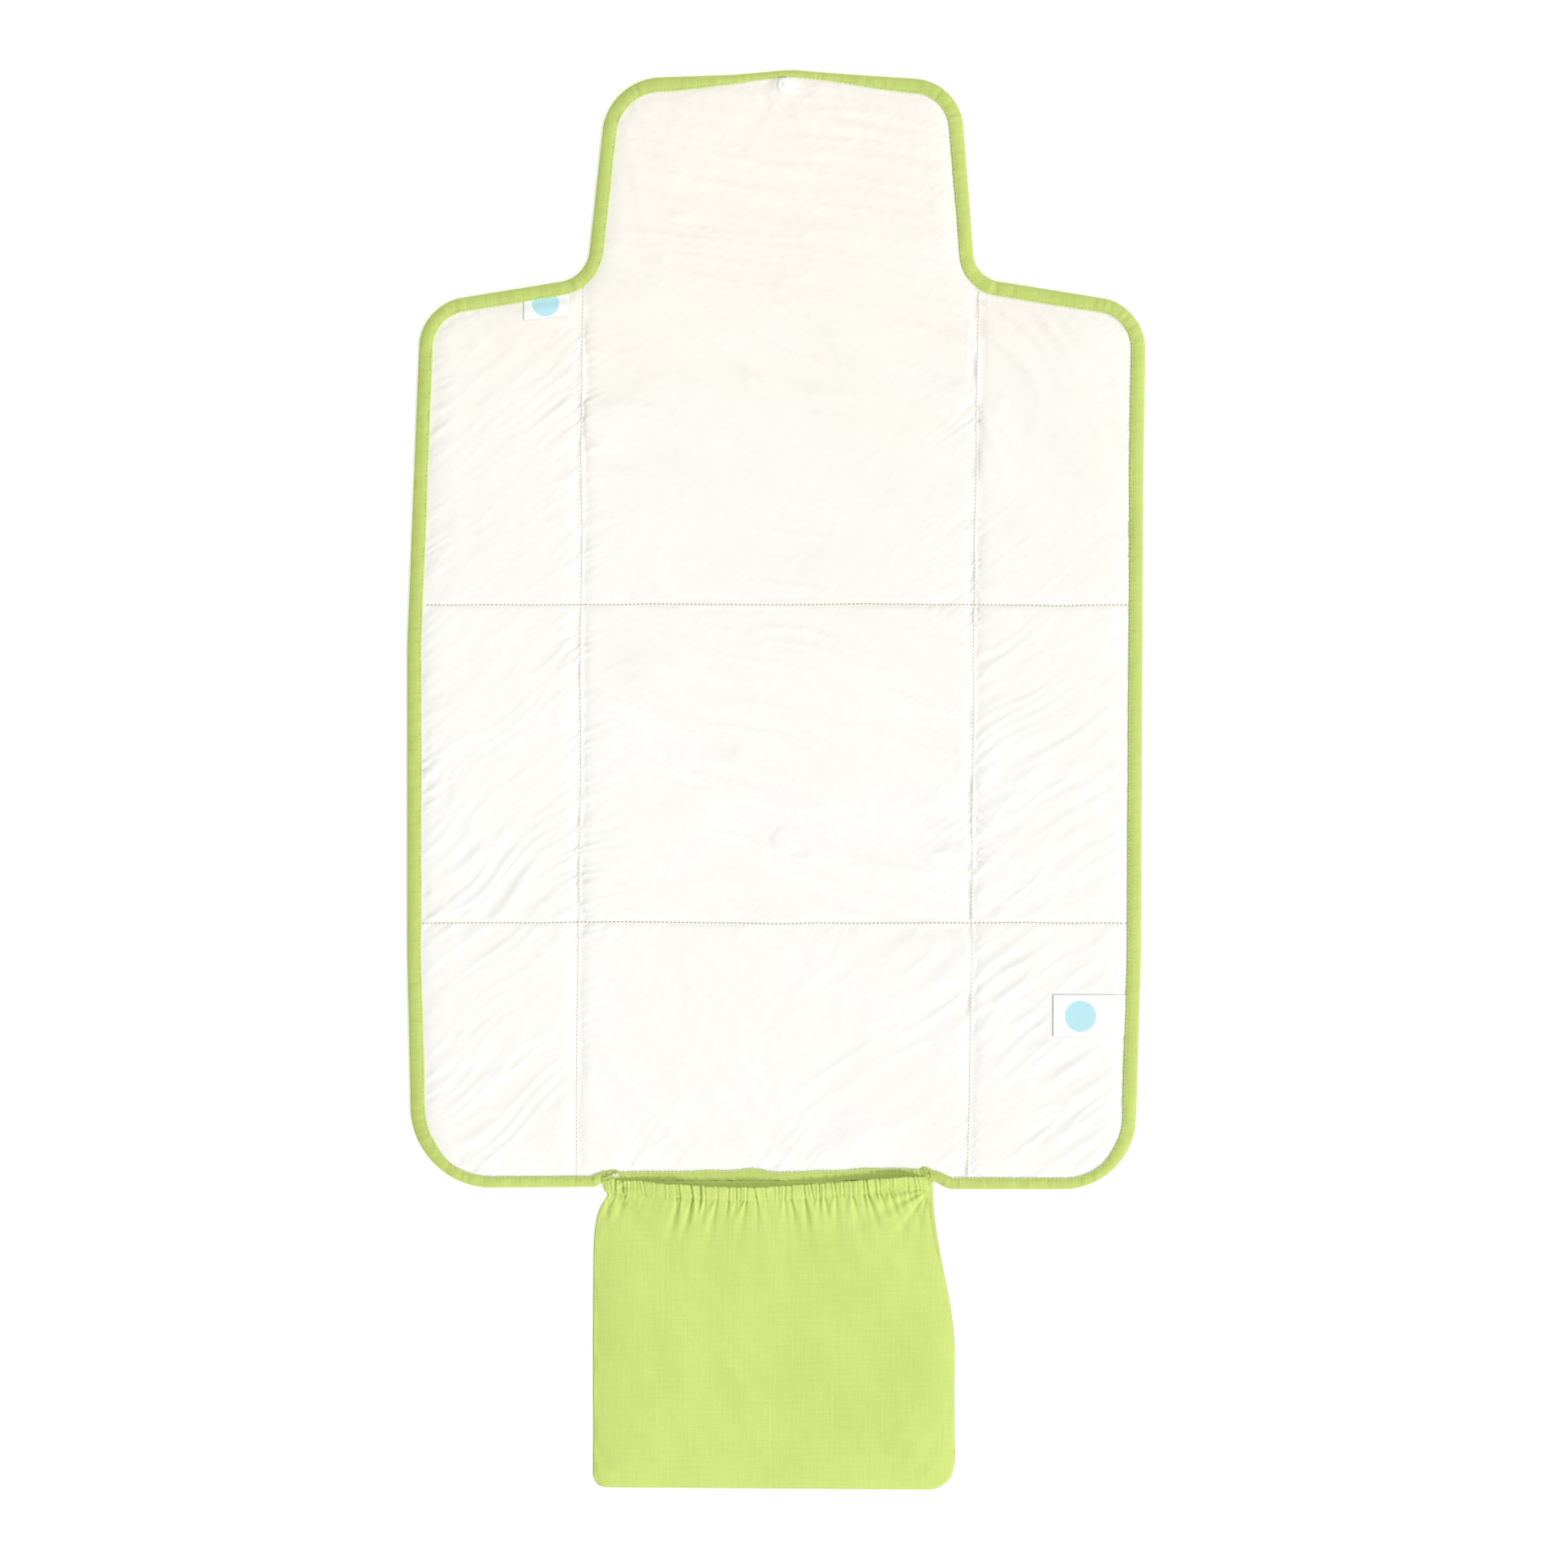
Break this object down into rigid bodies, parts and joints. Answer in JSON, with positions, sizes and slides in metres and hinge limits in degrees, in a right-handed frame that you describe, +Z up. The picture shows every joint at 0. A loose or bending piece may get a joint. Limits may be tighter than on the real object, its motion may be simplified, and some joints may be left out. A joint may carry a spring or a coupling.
{
  "type": "changing pad",
  "caption": "Quilted portable changing mat, cream face with green bias binding, folding panels, a snap flap and a gathered pouch.",
  "frame": {"origin": "centre of the bounding box at the height of the surface the opened mat lies on", "axes": "+Z up from the mat's back to its cream face, +Y along the length towards the head flap, +X to the right seen from above"},
  "size_m": [0.5449, 1.0485, 0.0076],
  "materials": {
    "cream_face": "thin crinkled cloth, slight sheen",
    "green_cloth": "plain weave cotton",
    "wadding": "lofted fibre",
    "elastic": "braided elastic",
    "snap_plastic": "moulded, satin",
    "label": "woven tape"
  },
  "bodies": {
    "mid_panel": {"mid_face_cloth": "cream_face", "mid_wadding": "wadding", "mid_backing": "green_cloth", "snap_socket": "snap_plastic", "snap_socket_cap": "snap_plastic"},
    "top_strip": {"top_fold_strip": "cream_face"},
    "top_panel": {"top_face_cloth": "cream_face", "top_wadding": "wadding", "top_backing": "green_cloth", "neck_binding": "green_cloth"},
    "flap": {"flap_face_cloth": "cream_face", "flap_wadding": "wadding", "flap_backing": "green_cloth", "flap_binding": "green_cloth", "snap_stud": "snap_plastic", "snap_stud_cap": "snap_plastic"},
    "bottom_strip": {"bottom_fold_strip": "cream_face"},
    "bottom_panel": {"bottom_face_cloth": "cream_face", "bottom_wadding": "wadding", "bottom_backing": "green_cloth", "bottom_binding": "green_cloth"},
    "pouch": {"pouch_front": "green_cloth", "pouch_back": "green_cloth", "pouch_elastic": "elastic"},
    "left_mid_wing": {"left_mid_face_cloth": "cream_face", "left_mid_wadding": "wadding", "left_mid_backing": "green_cloth", "left_mid_binding": "green_cloth"},
    "left_top_wing": {"left_top_face_cloth": "cream_face", "left_top_wadding": "wadding", "left_top_backing": "green_cloth", "left_top_binding": "green_cloth", "shoulder_label": "label"},
    "left_bottom_wing": {"left_bottom_face_cloth": "cream_face", "left_bottom_wadding": "wadding", "left_bottom_backing": "green_cloth", "left_bottom_binding": "green_cloth"},
    "left_top_strip_wing": {"left_top_fold_strip": "cream_face"},
    "left_bottom_strip_wing": {"left_bottom_fold_strip": "cream_face"},
    "right_mid_wing": {"right_mid_face_cloth": "cream_face", "right_mid_wadding": "wadding", "right_mid_backing": "green_cloth", "right_mid_binding": "green_cloth"},
    "right_top_wing": {"right_top_face_cloth": "cream_face", "right_top_wadding": "wadding", "right_top_backing": "green_cloth", "right_top_binding": "green_cloth"},
    "right_bottom_wing": {"right_bottom_face_cloth": "cream_face", "right_bottom_wadding": "wadding", "right_bottom_backing": "green_cloth", "right_bottom_binding": "green_cloth", "side_label": "label"},
    "right_top_strip_wing": {"right_top_fold_strip": "cream_face"},
    "right_bottom_strip_wing": {"right_bottom_fold_strip": "cream_face"}
  },
  "joints": [
    {"name": "top_row_fold", "type": "hinge", "parent": "mid_panel", "child": "top_strip", "pos_m": [0, 0.11185, 0], "axis": [1, 0, 0], "range_deg": [0, 90]},
    {"name": "top_row_fold_upper", "type": "hinge", "parent": "top_strip", "child": "top_panel", "pos_m": [0, 0.14815, 0], "axis": [1, 0, 0], "range_deg": [0, 90]},
    {"name": "bottom_row_fold", "type": "hinge", "parent": "mid_panel", "child": "bottom_strip", "pos_m": [0, -0.0955, 0], "axis": [-1, 0, 0], "range_deg": [0, 90]},
    {"name": "bottom_row_fold_lower", "type": "hinge", "parent": "bottom_strip", "child": "bottom_panel", "pos_m": [0, -0.1145, 0], "axis": [-1, 0, 0], "range_deg": [0, 90]},
    {"name": "flap_fold", "type": "hinge", "parent": "top_panel", "child": "flap", "pos_m": [0, 0.409, 0.0214], "axis": [1, 0, 0], "range_deg": [0, 180]},
    {"name": "pouch_fold", "type": "hinge", "parent": "bottom_panel", "child": "pouch", "pos_m": [0, -0.296, -0.00015], "axis": [1, 0, 0], "range_deg": [0, 180]},
    {"name": "left_wing_fold", "type": "hinge", "parent": "mid_panel", "child": "left_mid_wing", "pos_m": [-0.145, 0, 0.0045], "axis": [0, 1, 0], "range_deg": [0, 180]},
    {"name": "left_top_wing_fold", "type": "hinge", "parent": "top_panel", "child": "left_top_wing", "pos_m": [-0.145, 0, 0.0045], "axis": [0, 1, 0], "range_deg": [0, 180]},
    {"name": "left_bottom_wing_fold", "type": "hinge", "parent": "bottom_panel", "child": "left_bottom_wing", "pos_m": [-0.145, 0, 0.0045], "axis": [0, 1, 0], "range_deg": [0, 180]},
    {"name": "left_top_strip_wing_fold", "type": "hinge", "parent": "top_strip", "child": "left_top_strip_wing", "pos_m": [-0.145, 0, 0.0045], "axis": [0, 1, 0], "range_deg": [0, 180]},
    {"name": "left_bottom_strip_wing_fold", "type": "hinge", "parent": "bottom_strip", "child": "left_bottom_strip_wing", "pos_m": [-0.145, 0, 0.0045], "axis": [0, 1, 0], "range_deg": [0, 180]},
    {"name": "right_wing_fold", "type": "hinge", "parent": "mid_panel", "child": "right_mid_wing", "pos_m": [0.145, 0, 0.0045], "axis": [0, -1, 0], "range_deg": [0, 180]},
    {"name": "right_top_wing_fold", "type": "hinge", "parent": "top_panel", "child": "right_top_wing", "pos_m": [0.145, 0, 0.0045], "axis": [0, -1, 0], "range_deg": [0, 180]},
    {"name": "right_bottom_wing_fold", "type": "hinge", "parent": "bottom_panel", "child": "right_bottom_wing", "pos_m": [0.145, 0, 0.0045], "axis": [0, -1, 0], "range_deg": [0, 180]},
    {"name": "right_top_strip_wing_fold", "type": "hinge", "parent": "top_strip", "child": "right_top_strip_wing", "pos_m": [0.145, 0, 0.0045], "axis": [0, -1, 0], "range_deg": [0, 180]},
    {"name": "right_bottom_strip_wing_fold", "type": "hinge", "parent": "bottom_strip", "child": "right_bottom_strip_wing", "pos_m": [0.145, 0, 0.0045], "axis": [0, -1, 0], "range_deg": [0, 180]}
  ],
  "couplings": [
    {"joint": "top_row_fold_upper", "follows": "top_row_fold", "ratio": 1},
    {"joint": "bottom_row_fold_lower", "follows": "bottom_row_fold", "ratio": 1},
    {"joint": "left_top_wing_fold", "follows": "left_wing_fold", "ratio": 1},
    {"joint": "left_bottom_wing_fold", "follows": "left_wing_fold", "ratio": 1},
    {"joint": "left_top_strip_wing_fold", "follows": "left_wing_fold", "ratio": 1},
    {"joint": "left_bottom_strip_wing_fold", "follows": "left_wing_fold", "ratio": 1},
    {"joint": "right_top_wing_fold", "follows": "right_wing_fold", "ratio": 1},
    {"joint": "right_bottom_wing_fold", "follows": "right_wing_fold", "ratio": 1},
    {"joint": "right_top_strip_wing_fold", "follows": "right_wing_fold", "ratio": 1},
    {"joint": "right_bottom_strip_wing_fold", "follows": "right_wing_fold", "ratio": 1}
  ]
}
